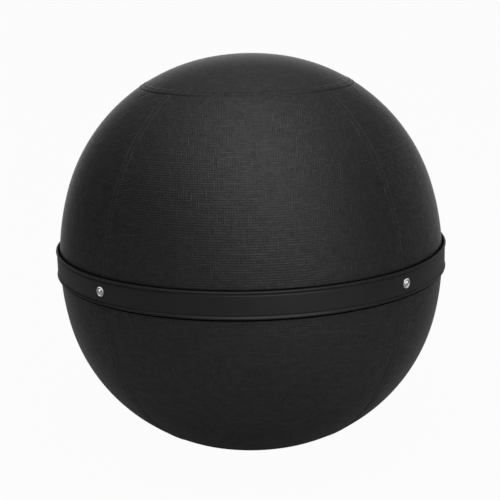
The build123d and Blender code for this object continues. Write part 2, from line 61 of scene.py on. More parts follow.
# Centres and radii of the five arcs, from the floor up: haunch, lower side, upper side, shoulder, crown.
# Neighbouring arcs share a normal where they meet, which gives the unknown radii.
def skinArcs(form):
    g, h = form["girthRadius"], form["girthHeight"]
    u, uc, us = form["upperRadius"], *cosSin(form["upperAngle"])
    cc, cs = cosSin(form["crownAngle"])
    rows = np.array([[cc - uc, -cc], [cs - us, 1 - cs]])
    shoulder, crown = np.linalg.solve(rows, [u * (1 - uc) - g, form["crownRise"] - u * us])
    low, lc, ls = form["lowerRadius"], *cosSin(form["lowerAngle"])
    a, b = g - low * (1 - lc) - form["baseRadius"], h - low * ls
    haunch = (a * a + b * b) / (2 * (a * lc - b * ls))
    return np.array([
        [-90, g - low + (low - haunch) * lc, h - (low - haunch) * ls, haunch],
        [-form["lowerAngle"], g - low, h, low],
        [0, g - u, h, u],
        [form["upperAngle"], g - u + (u - shoulder) * uc, h + (u - shoulder) * us, shoulder],
        [form["crownAngle"], 0, h + form["crownRise"] - crown, crown]])


def cosSin(degrees):
    return math.cos(math.radians(degrees)), math.sin(math.radians(degrees))


arcs = skinArcs(ballForm)
arcStops = np.append(arcs[:, 0], 90.0)
arcLengths = np.append(0, np.cumsum(np.radians(np.diff(arcStops)) * arcs[:, 3]))


# Point of the skin where its normal stands at this angle over the horizon: centre + (radius - inset) * normal
def skin(angle, inset=0.0):
    which = np.clip(np.searchsorted(arcs[:, 0], angle, side="right") - 1, 0, 4)
    across, up, radius = arcs[which, 1], arcs[which, 2], arcs[which, 3] - inset
    return across + radius * np.cos(np.radians(angle)), up + radius * np.sin(np.radians(angle))


def lengthAt(angle):  # distance along the skin from the lowest normal up
    return np.interp(angle, arcStops, arcLengths)


def angleAt(length):
    return np.interp(length, arcLengths, arcStops)


def rampUp(x, low, high):  # smooth step from 0 at low to 1 at high
    t = np.clip((x - low) / (high - low), 0, 1)
    return t * t * (3 - 2 * t)


def bell(x, width):  # 1 at zero, fading over width
    return np.exp(-(x / width) ** 2)


def turned(r, z, azimuth):  # profile point (r, z) carried to an azimuth, in degrees from +X
    a = np.radians(azimuth)
    return np.stack(np.broadcast_arrays(r * np.cos(a), r * np.sin(a), z), axis=-1)


# One mesh from a grid of points: a wrapped direction closes on itself, a pole draws its row into one point,
# and ends close a profile that was carried along a path
def gridPiece(name, grid, uv, material, wrapAcross=False, wrapAlong=False, poles=(), ends=False):
    rows, cols = grid.shape[:2]
    index = np.arange(rows * cols).reshape(rows, cols)
    for row in poles:
        index[row] = index[row, 0]
    i = np.arange(rows if wrapAlong else rows - 1)[:, None]
    j = np.arange(cols if wrapAcross else cols - 1)[None, :]
    i2, j2 = (i + 1) % rows, (j + 1) % cols
    quads = np.stack([index[i, j], index[i, j2], index[i2, j2], index[i2, j]], axis=-1).reshape(-1, 4)
    used = np.unique(index)
    place = np.zeros(rows * cols, int)
    place[used] = np.arange(used.size)
    faceList = place[quads].tolist()
    if poles:
        faceList = [list(dict.fromkeys(face)) for face in faceList]
    if ends:
        faceList += [index[:, 0].tolist(), index[::-1, -1].tolist()]
    return putMesh(name, grid.reshape(-1, 3)[used], faceList, uv.reshape(-1, 2)[used], material)


def putMesh(name, points, faceList, uv, material):
    mesh = bpy.data.meshes.new(name)
    mesh.from_pydata(np.asarray(points).tolist(), [], faceList)
    corners = np.concatenate([np.asarray(f) for f in faceList])
    layer = mesh.uv_layers.new(name="UVMap")
    layer.data.foreach_set("uv", np.asarray(uv, np.float32)[corners].ravel())
    mesh.polygons.foreach_set("use_smooth", np.ones(len(faceList), bool))
    mesh.materials.append(material)
    mesh.update()
    piece = bpy.data.objects.new(name, mesh)
    bpy.context.scene.collection.objects.link(piece)
    return piece


def thicken(piece, thickness):  # cloth wall, grown inwards
    wall = piece.modifiers.new("wall", "SOLIDIFY")
    wall.thickness, wall.offset, wall.use_even_offset = thickness, -1, True


# One stitch: a short rounded thread, its half width w * sqrt(full - x^2) along its length, dipping as x^2 at both ends
stitchForm = dict(
    length=2.6 * mm, width=0.75 * mm, height=0.42 * mm, full=1.04, least=0.02, dip=0.8, rings=6, sides=6)


def stitchRow(name, centres, along, outward, material, body, form=stitchForm):
    x = np.linspace(-1, 1, form["rings"])
    turn = np.linspace(0, 2 * np.pi, form["sides"], endpoint=False)
    swell = np.sqrt(np.clip(form["full"] - x * x, form["least"], 1))[:, None]
    unit = np.stack(np.broadcast_arrays(
        x[:, None] * form["length"] / 2,
        swell * np.cos(turn) * form["width"] / 2,
        swell * np.sin(turn) * form["height"] - (x[:, None] ** 2) * form["height"] * form["dip"]),
        axis=-1).reshape(-1, 3)
    side = np.cross(outward, along)
    axes = np.stack([along, side, outward], axis=1)
    points = (np.einsum("pk,nkc->npc", unit, axes) + centres[:, None, :]).reshape(-1, 3)
    i, j = np.arange(form["rings"] - 1)[:, None], np.arange(form["sides"])[None, :]
    j2 = (j + 1) % form["sides"]
    quads = np.stack([i * form["sides"] + j, i * form["sides"] + j2,
                      (i + 1) * form["sides"] + j2, (i + 1) * form["sides"] + j], axis=-1).reshape(-1, 4)
    shift = (np.arange(len(centres)) * len(unit))[:, None, None]
    faceList = (quads[None] + shift).reshape(-1, 4).tolist()
    ends = np.stack([np.arange(form["sides"])[::-1], np.arange(form["sides"]) + len(unit) - form["sides"]])
    faceList += (ends[None] + shift).reshape(-1, form["sides"]).tolist()
    uv = np.tile(unit[:, :2], (len(centres), 1))
    piece = putMesh(name, points, faceList, uv, material)
    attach(piece, body)


# Shader values as Python expressions: each operator adds one Math node
class Value:
    def __init__(self, shading, node, output=0):
        self.shading, self.node, self.socket = shading, node, node.outputs[output]

    def pick(self, output):
        return Value(self.shading, self.node, output)

    def math(self, operation, other=None, flip=False):
        pair = [self] if other is None else ([other, self] if flip else [self, other])
        return self.shading.make("ShaderNodeMath", {"operation": operation}, dict(enumerate(pair)))

    def __add__(self, other):
        return self.math("ADD", other)

    def __sub__(self, other):
        return self.math("SUBTRACT", other)

    def __rsub__(self, other):
        return self.math("SUBTRACT", other, True)

    def __mul__(self, other):
        return self.math("MULTIPLY", other)

    def __truediv__(self, other):
        return self.math("DIVIDE", other)

    def __pow__(self, other):
        return self.math("POWER", other)

    __radd__ = __add__


class Shading:
    def __init__(self, tree):
        self.tree = tree

    def make(self, kind, settings=None, sockets=None, output=0):
        node = self.tree.nodes.new(kind)
        for key, value in (settings or {}).items():
            setattr(node, key, value)
        for key, value in (sockets or {}).items():
            if isinstance(value, Value):
                self.tree.links.new(value.socket, node.inputs[key])
            else:
                node.inputs[key].default_value = value
        return Value(self, node, output)

    def coords(self, kind="UV"):
        return self.make("ShaderNodeTexCoord", output=kind)

    def placed(self, vector, stretch):
        return self.make("ShaderNodeMapping", sockets={"Vector": vector, "Scale": stretch})

    def noise(self, vector, stretch, detail=2.0, rough=0.5):
        return self.make("ShaderNodeTexNoise", sockets={
            "Vector": self.placed(vector, stretch), "Scale": 1.0, "Detail": detail, "Roughness": rough})

    def yarnNoise(self, x, y):  # 0 to 1, drawn out along x or y where that one is slow
        place = self.make("ShaderNodeCombineXYZ", sockets={0: x, 1: y})
        return self.noise(place, (1, 1, 1), 2.0, 0.6)

    def split(self, vector):
        parts = self.make("ShaderNodeSeparateXYZ", sockets={0: vector})
        return parts.pick("X"), parts.pick("Y"), parts.pick("Z")

    def blendColour(self, factor, dark, light):
        return self.make("ShaderNodeMix", {"data_type": "RGBA"}, {0: factor, 6: (*dark, 1), 7: (*light, 1)}, 2)


class Finish(Shading):
    def __init__(self, name, **constants):
        self.material = bpy.data.materials.new(name)
        self.material.use_nodes = True
        super().__init__(self.material.node_tree)
        self.shader = self.tree.nodes["Principled BSDF"]
        for socket, value in constants.items():  # the same all over, so set on the shader itself
            self.shader.inputs[socket.replace("_", " ")].default_value = value

    def feed(self, socket, value):
        self.tree.links.new(value.socket, self.shader.inputs[socket])

    def bump(self, height, strength, distance):
        self.feed("Normal", self.make("ShaderNodeBump", sockets={
            "Height": height, "Strength": strength, "Distance": distance}))


clothLook = dict(
    yarn=3.2 * mm, weaveDepth=1.0 * mm, relief=0.46, dark=(0.0004, 0.0004, 0.0005), light=(0.021, 0.021, 0.0212),
    gloss=0.54, rough=0.64, polish=0.18, slubLength=14 * mm, slubGain=3.0, slubStep=1.37,
    wander=0.3, wanderScale=(45, 45, 1), checker=0.5, floats=3.0, weftLead=0.7,
    slubTone=0.6, ridgeTone=0.4, slubRelief=0.4, ridgeRelief=0.6,
    fuzz=0.12, fuzzWidth=0.06, fuzzTint=(0.86, 0.92, 1.0, 1.0), napStart=0.62, napGain=1.7, napRough=0.3)


# Linen-look cloth in plain weave: yarns are half-rounds |sin(pi x / yarn)|, weft lies over warp where
# sin(pi x / yarn) sin(pi y / yarn) is above zero or where it is much the thicker, since each yarn has
# its own thick and thin places along it. Seen edge on the nap shines, as (facing - start) times a gain
def clothFinish(name, look=clothLook):
    s = Finish(name, Specular_IOR_Level=look["gloss"], Sheen_Weight=look["fuzz"], Sheen_Tint=look["fuzzTint"],
               Sheen_Roughness=look["fuzzWidth"], Coat_Roughness=look["napRough"])
    uv = s.coords()
    x, y = s.split(uv)[:2]
    wander = s.noise(uv, look["wanderScale"], 1) * look["wander"]
    u, v = x / look["yarn"] + wander, y / look["yarn"] + wander
    warp, weft = (u * math.pi).math("SINE"), (v * math.pi).math("SINE")
    weftSlub = s.yarnNoise(x / look["slubLength"], v.math("FLOOR") * look["slubStep"])
    warpSlub = s.yarnNoise(u.math("FLOOR") * look["slubStep"], y / look["slubLength"])
    over = warp * weft * look["checker"] + (weftSlub - warpSlub) * look["floats"] + look["weftLead"]
    over = over.math("MAXIMUM", 0.0).math("MINIMUM", 1.0)
    slub = ((over * weftSlub + (1 - over) * warpSlub) - 0.5) * look["slubGain"] + 0.5
    ridge = over * weft.math("ABSOLUTE") + (1 - over) * warp.math("ABSOLUTE")
    tone = slub * look["slubTone"] + ridge * look["ridgeTone"]
    s.feed("Base Color", s.blendColour(tone, look["dark"], look["light"]))
    s.feed("Roughness", look["rough"] - tone * look["polish"])
    edgeOn = s.make("ShaderNodeLayerWeight", sockets={"Blend": 0.5}, output="Facing")
    s.feed("Coat Weight", (edgeOn - look["napStart"]).math("MAXIMUM", 0.0) * look["napGain"])
    height = slub * look["slubRelief"] + ridge * look["ridgeRelief"]
    s.bump(height, look["relief"], look["weaveDepth"])
    return s.material


leatherLook = dict(dark=(0.006, 0.006, 0.0062), light=(0.019, 0.019, 0.0194), gloss=0.46, smooth=0.34)
# near-black lining colour: painted shade for the dark line along the belt's edges
shadeLiningLook = dict(dark=(0.001, 0.001, 0.001), light=(0.004, 0.004, 0.004), gloss=0.05, smooth=0.8)
leatherGrain = dict(
    pebbles=(1000, 1000, 1), creases=(40, 170, 1), clouds=(14, 30, 1), cloudTone=0.6, creaseTone=0.25, pebbleTone=0.15,
    creaseRough=0.2, pebbleRelief=0.5, creaseRelief=0.5, relief=0.2, depth=0.25 * mm)


# Coated leather: pebbles from a cell pattern, faint creases along the strap, slow clouds of tone
def leatherFinish(name, look, grain=leatherGrain):
    s = Finish(name, Specular_IOR_Level=look["gloss"])
    uv = s.coords()
    pebble = s.make("ShaderNodeTexVoronoi", {"feature": "SMOOTH_F1"}, {
        "Vector": s.placed(uv, grain["pebbles"]), "Scale": 1.0})
    crease = s.noise(uv, grain["creases"], 3)
    cloud = s.noise(uv, grain["clouds"])
    tone = cloud * grain["cloudTone"] + crease * grain["creaseTone"] + pebble * grain["pebbleTone"]
    s.feed("Base Color", s.blendColour(tone, look["dark"], look["light"]))
    s.feed("Roughness", look["smooth"] + crease * grain["creaseRough"])
    height = pebble * grain["pebbleRelief"] + crease * grain["creaseRelief"]
    s.bump(height, grain["relief"], grain["depth"])
    return s.material


threadLook = dict(rough=0.55, gloss=0.3, twistAlong=5200, twistAcross=3800, relief=0.5, depth=0.1 * mm)


# Sewing thread: slanting bands, sin(a x + b y), for its twist
def threadFinish(name, dark, light, look=threadLook):
    s = Finish(name, Roughness=look["rough"], Specular_IOR_Level=look["gloss"])
    x, y = s.split(s.coords())[:2]
    twist = (x * look["twistAlong"] + y * look["twistAcross"]).math("SINE") * 0.5 + 0.5
    s.feed("Base Color", s.blendColour(twist, dark, light))
    s.bump(twist, look["relief"], look["depth"])
    return s.material


metalLook = dict(
    scuffs=(260, 260, 260), scuffDetail=4, scuffRough=0.7, wornTone=0.8, roughSpread=0.08, relief=0.04, depth=0.05 * mm)


# Plated or painted metal with fine handling marks
def metalFinish(name, colour, roughness, look=metalLook):
    s = Finish(name, Metallic=1.0)
    where = s.coords("Object")
    scuff = s.noise(where, look["scuffs"], look["scuffDetail"], look["scuffRough"])
    s.feed("Base Color", s.blendColour(scuff, tuple(look["wornTone"] * c for c in colour), colour))
    s.feed("Roughness", roughness + scuff * look["roughSpread"])
    s.bump(scuff, look["relief"], look["depth"])
    return s.material


# Polished chrome, sharp as a mirror, with a dark line of painted shade in the groove where the dome meets its rim,
# exp(-((r - groove) / width)^2) of the distance r from the middle
def chromeFinish(name, form):
    s = Finish(name, Metallic=1.0, Roughness=0.0)
    x, y = s.split(s.coords())[:2]
    fromGroove = ((x * x + y * y) ** 0.5 / form["radius"] - form["groove"]) / form["grooveShadeWidth"]
    # painted shade: the groove between dome and rim is darkened in the colour itself
    grooveShade = (fromGroove * fromGroove * -1.0).math("EXPONENT")
    s.feed("Base Color", s.blendColour(grooveShade, form["chrome"], form["grooveShade"]))
    s.bump(s.noise(s.coords("Object"), form["marks"]), form["markRelief"], form["markDepth"])
    return s.material


mouldedLook = dict(
    gloss=0.4, drift=(25, 25, 25), grainTone=0.4, driftTone=0.6, roughSpread=0.16, relief=0.15, depth=0.2 * mm)


# Moulded plastic or vinyl: a fine mould grain over slow drift of tone
def mouldedFinish(name, dark, light, roughness, grain=700, look=mouldedLook):
    s = Finish(name, Specular_IOR_Level=look["gloss"])
    where = s.coords("Object")
    fine = s.noise(where, (grain, grain, grain))
    slow = s.noise(where, look["drift"])
    s.feed("Base Color", s.blendColour(fine * look["grainTone"] + slow * look["driftTone"], dark, light))
    s.feed("Roughness", roughness + fine * look["roughSpread"] - look["roughSpread"] / 2)
    s.bump(fine, look["relief"], look["depth"])
    return s.material


sandLook = dict(
    rough=0.9, grains=(1100, 1100, 1100), dark=(0.30, 0.22, 0.13), light=(0.62, 0.52, 0.38), relief=0.6, depth=0.4 * mm)


# Dry sand: grains of mixed colour from a cell pattern
def sandFinish(name, look=sandLook):
    s = Finish(name, Roughness=look["rough"])
    grain = s.make("ShaderNodeTexVoronoi", sockets={
        "Vector": s.placed(s.coords("Object"), look["grains"]), "Scale": 1.0})
    s.feed("Base Color", s.blendColour(grain, look["dark"], look["light"]))
    s.bump(grain, look["relief"], look["depth"])
    return s.material


twillLook = dict(
    rough=0.8, gloss=0.2, slant=2, fuzz=(300, 900, 1), ribTone=0.5, fuzzTone=0.5, ribRelief=0.7, fuzzRelief=0.3,
    relief=0.5, depth=0.3 * mm)


# Plain twill for tapes and pouch: slanting ribs, sin(k (x + slant y)), with a little fuzz
def twillFinish(name, dark, light, rib=2.4 * mm, look=twillLook):
    s = Finish(name, Roughness=look["rough"], Specular_IOR_Level=look["gloss"])
    uv = s.coords()
    x, y = s.split(uv)[:2]
    ribs = ((x + y * look["slant"]) * (2 * math.pi / rib)).math("SINE") * 0.5 + 0.5
    fuzz = s.noise(uv, look["fuzz"], 3)
    s.feed("Base Color", s.blendColour(ribs * look["ribTone"] + fuzz * look["fuzzTone"], dark, light))
    s.bump(ribs * look["ribRelief"] + fuzz * look["fuzzRelief"], look["relief"], look["depth"])
    return s.material


gripLook = dict(
    pitch=5.0 * mm, gloss=0.25, sharpness=3.0, dust=(60, 60, 1), studTone=0.4, dustTone=0.5,
    dark=(0.006, 0.006, 0.006), light=(0.028, 0.028, 0.027), rough=0.8, wear=0.2,
    studRelief=0.9, dustRelief=0.1, relief=0.8, depth=0.6 * mm)


# Non-slip sheet: rounded studs, ((cos(kx) cos(ky) + 1) / 2)^3, with dust
def gripFinish(name, look=gripLook):
    s = Finish(name, Specular_IOR_Level=look["gloss"])
    uv = s.coords()
    x, y = s.split(uv)[:2]
    k = 2 * math.pi / look["pitch"]
    studs = ((x * k).math("COSINE") * (y * k).math("COSINE") * 0.5 + 0.5) ** look["sharpness"]
    dust = s.noise(uv, look["dust"], 4)
    tone = studs * look["studTone"] + dust * look["dustTone"]
    s.feed("Base Color", s.blendColour(tone, look["dark"], look["light"]))
    s.feed("Roughness", look["rough"] - studs * look["wear"])
    s.bump(studs * look["studRelief"] + dust * look["dustRelief"], look["relief"], look["depth"])
    return s.material


cloth = clothFinish("coverCloth")
leather = leatherFinish("beltLeather", leatherLook)
shadeLining = leatherFinish("beltLiningPaintedShade", shadeLiningLook)
coverThread = threadFinish("coverThread", (0.012, 0.012, 0.012), (0.06, 0.06, 0.062))
beltThread = threadFinish("beltThread", (0.006, 0.006, 0.006), (0.03, 0.03, 0.031))
steel = metalFinish("studSteel", (0.55, 0.55, 0.54), 0.3)
twill = twillFinish("zipTape", (0.006, 0.006, 0.006), (0.026, 0.026, 0.026))
canvas = twillFinish("pouchCanvas", (0.06, 0.06, 0.058), (0.14, 0.14, 0.135), 1.6 * mm)
grip = gripFinish("baseGrip")
zipPlastic = mouldedFinish("zipPlastic", (0.010, 0.010, 0.010), (0.024, 0.024, 0.024), 0.42)
zipMetal = metalFinish("zipMetal", (0.10, 0.10, 0.105), 0.32)
vinyl = mouldedFinish("bladderVinyl", (0.24, 0.25, 0.27), (0.34, 0.35, 0.37), 0.42, 300)
plugPlastic = mouldedFinish("plugPlastic", (0.60, 0.60, 0.58), (0.74, 0.74, 0.72), 0.5)
sand = sandFinish("ballastSand")
print("finishes ready")

coverForm = dict(
    wall=1.2 * mm, panels=4, firstSeam=-135.0, capSeamAngle=57.2, hemOffset=7.0 * mm, zipRise=43.0 * mm,
    ditchDepth=0.45 * mm, ditchWidth=0.9 * mm, foldRise=0.50 * mm, foldWidth=9.2 * mm, hemSink=0.5 * mm,
    stitchPitch=3.6 * mm, stitchLines=(1.8 * mm, 7.6 * mm), stitchSink=0.34 * mm, gather=0.22 * mm,
    capRoll=0.2 * mm, rollPlace=4.4 * mm, rollWidth=2.3 * mm,
    bandStart=(0.2 * mm, 1.4 * mm), bandEnd=(-0.4 * mm, 1.4 * mm), pullMean=0.65, pullSwing=0.35, stitchDent=0.55 * mm,
    gatherRates=(310.0, 97.0), gatherShift=1.3, gatherPlace=9 * mm, gatherWidth=7 * mm,
    flatShare=0.2, junctionReach=60 * mm, hemWidth=1.5 * mm, threadSink=0.4, hemLines=12,
    panelRows=300, panelColumns=64, ringColumns=480, crownRows=46)
panelSpan = 360.0 / coverForm["panels"]
seamAngles = coverForm["firstSeam"] + panelSpan * np.arange(coverForm["panels"])
baseAngle = math.degrees(math.asin(-arcs[0, 2] / arcs[0, 3]))
baseLength = lengthAt(baseAngle)
zipLength = baseLength + coverForm["zipRise"]
hemTop = zipLength + coverForm["hemOffset"]
hemBottom = zipLength - coverForm["hemOffset"]
capLength = lengthAt(coverForm["capSeamAngle"])
crownLength = arcLengths[-1]
edgeSteps = np.array([0, .35, .7, 1.05, 1.4, 1.75, 2.1, 2.6, 3.4, 4.4, 5.4, 6.2, 6.7, 7.1, 7.4,
                      7.8, 8.2, 8.7, 9.3, 9.9, 10.8, 12.5, 15, 18]) * mm  # spacing of mesh lines beside a seam


# Height of the cloth at distance e from a seam: a ditch, -d exp(-(e/w)^2), then on the side where the
# allowance is folded under a low flat band with two sunk lines of stitching, and faint gathers beyond;
# the allowance of the round seam is bunched into a roll
def seamHeight(e, along, folded, depth=1.0, roll=0.0):
    f = coverForm
    height = (roll * bell(e - f["rollPlace"], f["rollWidth"]) - f["ditchDepth"] * bell(e, f["ditchWidth"])) * depth
    if folded:
        fallStart, fallEnd = (f["foldWidth"] + step for step in f["bandEnd"])
        band = rampUp(e, *f["bandStart"]) * (1 - rampUp(e, fallStart, fallEnd))
        pull = f["pullMean"] + f["pullSwing"] * np.cos(2 * np.pi * along / f["stitchPitch"])
        sunk = sum(bell(e - line, f["stitchDent"]) for line in f["stitchLines"])
        height = height + (f["foldRise"] * band - f["stitchSink"] * pull * sunk) * depth
    quick, slow = f["gatherRates"]
    slack = np.sin(along * quick) * np.sin(along * slow + f["gatherShift"])
    return height + f["gather"] * slack * bell(e - f["gatherPlace"], f["gatherWidth"])


def junction(e):  # the round seam lies flatter away from the upright seams
    flat = coverForm["flatShare"]
    return flat + (1 - flat) * bell(e, coverForm["junctionReach"])


def coverPiece(piece, nodeName, wall, area):  # what every sheet of the cover gets
    thicken(piece, wall)
    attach(piece, "ball")
    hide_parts(nodeName)


def stripArea(start, end):  # area of the whole ring of skin between two lengths, 2 pi times the sum of r ds
    s = np.linspace(start, end, 400)
    r = skin(angleAt(s))[0]
    return 2 * math.pi * float(np.sum((r[1:] + r[:-1]) / 2 * np.diff(s)))


# Side panel: rows follow the skin up from the hem, columns are set by their distance from the two seams
def sidePanel(label, start, folded):
    f = coverForm
    along = np.concatenate([
        hemTop + edgeSteps[:f["hemLines"]],
        np.linspace(hemTop + 7 * mm, capLength - 20 * mm, f["panelRows"]),
        capLength - edgeSteps[::-1]])
    angle = angleAt(along)
    girth = skin(angle)[0][:, None]
    width = girth * math.radians(panelSpan)
    middle = np.linspace(0, 1, f["panelColumns"])[1:-1]
    across = np.concatenate([
        np.broadcast_to(edgeSteps, (along.size, edgeSteps.size)),
        edgeSteps[-1] + middle * (width - 2 * edgeSteps[-1]),
        width - edgeSteps[::-1]], axis=1)
    fromSeam = np.minimum(across, width - across)
    rise = seamHeight(fromSeam, along[:, None], folded)
    rise = rise + seamHeight((capLength - along)[:, None], across, False, junction(fromSeam))
    rise = rise - f["hemSink"] * bell((along - hemTop)[:, None], f["hemWidth"])
    r, z = skin(angle[:, None], -rise)
    grid = turned(r, z, start + np.degrees(across / girth))
    uv = np.stack([across - width / 2, np.broadcast_to(along[:, None], across.shape)], axis=-1)
    piece = gridPiece("panel_" + label, grid, uv, cloth)
    coverPiece(piece, "side_panel_" + label, f["wall"],
               stripArea(hemTop, capLength) / f["panels"])


for label, start in zip(("front", "right", "back", "left"), seamAngles):
    sidePanel(label, start, label in ("front", "back"))
print("side panels done")


# Round top panel: rings from its seam to the pole, the folded band of the seam on this side
def topPanel(name):
    f = coverForm
    along = np.concatenate([capLength + edgeSteps, np.linspace(capLength + 21 * mm, crownLength, f["crownRows"])])
    azimuth = np.linspace(-180, 180, f["ringColumns"], endpoint=False)
    angle = angleAt(along)
    rim = skin(angle[:1])[0]
    toSeam = np.abs((azimuth - seamAngles[0] + panelSpan / 2) % panelSpan - panelSpan / 2)
    rise = seamHeight((along - capLength)[:, None], np.radians(azimuth) * rim, True,
                      junction(np.radians(toSeam) * rim), f["capRoll"])
    r, z = skin(angle[:, None], -rise)
    grid = turned(np.where(along[:, None] < crownLength, r, 0), z, azimuth)
    reach = (crownLength - along)[:, None]
    uv = np.stack([reach * np.cos(np.radians(azimuth)), reach * np.sin(np.radians(azimuth))], axis=-1)
    piece = gridPiece(name, grid, uv, cloth, wrapAcross=True, poles=(-1,))
    coverPiece(piece, "top_cap", f["wall"], stripArea(capLength, crownLength))


topPanel("panel_top")


# Stitches along an upright seam: places, the way the thread runs, and outward normals
def uprightStitches(seam, offset):
    f = coverForm
    along = np.arange(hemTop + 4 * mm, capLength - 3 * mm, f["stitchPitch"])
    angle = angleAt(along)
    r, z = skin(angle, f["stitchSink"] * f["threadSink"] - f["foldRise"])
    azimuth = seam + np.degrees(offset / r)
    a, n = np.radians(azimuth), np.radians(angle)
    outward = np.stack([np.cos(n) * np.cos(a), np.cos(n) * np.sin(a), np.sin(n)], axis=-1)
    run = np.stack([-np.sin(n) * np.cos(a), -np.sin(n) * np.sin(a), np.cos(n)], axis=-1)
    return turned(r, z, azimuth), run, outward


# Stitches along a ring of the skin, or a part of it
def ringStitches(along, rise, pitch, start=0.0, span=360.0):
    angle = float(angleAt(along))
    r, z = skin(np.array([angle]), -rise)
    count = int(math.radians(span) * r[0] / pitch)
    azimuth = start + np.arange(count) * span / count
    a, n = np.radians(azimuth), np.full(count, math.radians(angle))
    outward = np.stack([np.cos(n) * np.cos(a), np.cos(n) * np.sin(a), np.sin(n)], axis=-1)
    run = np.stack([-np.sin(a), np.cos(a), 0 * a], axis=-1)
    return turned(r, z, azimuth), run, outward


def sewn(name, lines, material, body="ball"):  # several lines of stitches as one piece
    stitchRow(name, *[np.concatenate(part) for part in zip(*lines)], material, body)


foldSides = [(seamAngles[0], 1), (seamAngles[1], -1), (seamAngles[2], 1), (seamAngles[3], -1)]
sewn("stitches_upright", [uprightStitches(seam, side * line) for seam, side in foldSides
                          for line in coverForm["stitchLines"]], coverThread)
onFold = coverForm["foldRise"] - coverForm["stitchSink"] * coverForm["threadSink"]
sewn("stitches_top", [ringStitches(capLength + line, onFold, coverForm["stitchPitch"])
                      for line in coverForm["stitchLines"]], coverThread)
print("cover stitched")

baseForm = dict(
    wall=1.6 * mm, zipStart=-10.0, zipSpan=200.0, edgeGap=0.3 * mm, tapeNear=4.9 * mm, tapeFar=16.0 * mm,
    tapeInset=2.05 * mm, tapeWall=0.7 * mm, stitchLine=2.6 * mm, stitchRise=0.05 * mm,
    bridgeSwell=0.25 * mm, bridgeGap=0.1, bridgeStitch=4.6 * mm, stitchGap=1.0,
    discRings=36, skirtRings=16, columns=240, stripRows=13, stripDensity=1.5)


# Base panel: a flat disc out to its rim, then up the skin to the lower hem
def basePanel(name):
    f = baseForm
    flatR = np.linspace(0, ballForm["baseRadius"], f["discRings"])
    along = np.concatenate([
        np.linspace(baseLength, hemBottom - 8 * mm, f["skirtRings"])[1:],
        hemBottom - edgeSteps[:coverForm["hemLines"]:2][::-1]])
    sink = coverForm["hemSink"] * bell(along - hemBottom, coverForm["hemWidth"])
    skirtR, skirtZ = skin(angleAt(along), sink)
    r, z = np.concatenate([flatR, skirtR])[:, None], np.concatenate([0 * flatR, skirtZ])[:, None]
    azimuth = np.linspace(-180, 180, f["columns"], endpoint=False)
    reach = np.concatenate([flatR, ballForm["baseRadius"] + along - baseLength])[:, None]
    uv = np.stack([reach * np.cos(np.radians(azimuth)), reach * np.sin(np.radians(azimuth))], axis=-1)
    piece = gridPiece(name, turned(r, z, azimuth), uv, grip, wrapAcross=True, poles=(0,))
    area = math.pi * ballForm["baseRadius"] ** 2 + stripArea(baseLength, hemBottom)
    coverPiece(piece, "base_panel", f["wall"], area)


zipRadius = float(skin(angleAt(np.array([zipLength])))[0][0])


# Strip of the skin between two lengths over part of the round, swelling as s (1 - u^4) between its sewn edges
def skinStrip(name, low, high, start, span, inset, swell, wall, material):
    along = np.linspace(low, high, baseForm["stripRows"])
    azimuth = np.linspace(start, start + span, int(span * baseForm["stripDensity"]))
    belly = swell * (1 - np.linspace(-1, 1, along.size) ** 4)
    r, z = skin(angleAt(along), inset - belly)
    run = np.radians(azimuth) * zipRadius
    uv = np.stack(np.broadcast_arrays(run[None, :], (along - zipLength)[:, None]), axis=-1)
    piece = gridPiece(name, turned(r[:, None], z[:, None], azimuth), uv, material)
    thicken(piece, wall)
    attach(piece, "ball")
    return piece


basePanel("panel_base")
f = baseForm
zipEnd = f["zipStart"] + f["zipSpan"]
reach = coverForm["hemOffset"] - f["edgeGap"]
bridgeSpan = 360 - f["zipSpan"] - 2 * f["bridgeGap"]
bridge = skinStrip("base_strip", zipLength - reach, zipLength + reach, zipEnd + f["bridgeGap"], bridgeSpan,
                   f["bridgeSwell"], f["bridgeSwell"], coverForm["wall"], cloth)
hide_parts("base_bridge")
for label, side in (("upper", 1), ("lower", -1)):
    low, high = sorted((zipLength + side * f["tapeNear"], zipLength + side * f["tapeFar"]))
    tape = skinStrip("tape_" + label, low, high, f["zipStart"], f["zipSpan"],
                     f["tapeInset"], 0.0, f["tapeWall"], twill)
    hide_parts("zip_tape_" + label)
lines = [ringStitches(edge, f["stitchRise"], coverForm["stitchPitch"])
         for edge in (hemTop + f["stitchLine"], hemBottom - f["stitchLine"])]
lines += [ringStitches(zipLength + side * f["bridgeStitch"], 0.0, coverForm["stitchPitch"],
                       zipEnd + f["stitchGap"], 360 - f["zipSpan"] - 2 * f["stitchGap"]) for side in (-1, 1)]
sewn("stitches_base", lines, coverThread)
print("base done")


pouchForm = dict(
    innerRadius=42.3 * mm, clearance=0.3 * mm, acrossPower=0.35, upPower=0.45, dent=0.25 * mm, dents=36, dentFrom=0.5,
    section=48, columns=180, sectionRun=20 * mm)


# Sand pouch: a ring whose section is a rounded square, across |cos t|^a and up |sin t|^b, dented as cos(n azimuth)
# round its outer side
def sandPouch(name):
    f = pouchForm
    low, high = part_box("ballast_pouch")
    outer, inner = float(high[0]) - f["clearance"], f["innerRadius"]
    t = np.linspace(0, 2 * np.pi, f["section"], endpoint=False)
    c, s = np.cos(t), np.sin(t)
    across = (inner + outer) / 2 + (outer - inner) / 2 * np.sign(c) * np.abs(c) ** f["acrossPower"]
    height = (high[2] + low[2]) / 2 + (high[2] - low[2]) / 2 * np.sign(s) * np.abs(s) ** f["upPower"]
    azimuth = np.linspace(-180, 180, f["columns"], endpoint=False)
    dent = f["dent"] * np.cos(np.radians(azimuth) * f["dents"])[None, :] * (c > f["dentFrom"])[:, None]
    grid = turned(across[:, None] - f["clearance"] + dent, height[:, None], azimuth)
    uv = np.stack(np.broadcast_arrays(np.radians(azimuth)[None, :] * outer, (t * f["sectionRun"])[:, None]), axis=-1)
    piece = gridPiece(name, grid, uv, canvas, wrapAcross=True, wrapAlong=True)
    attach(piece, "ball")
    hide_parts("ballast_pouch")


sandPouch("sand_pouch")

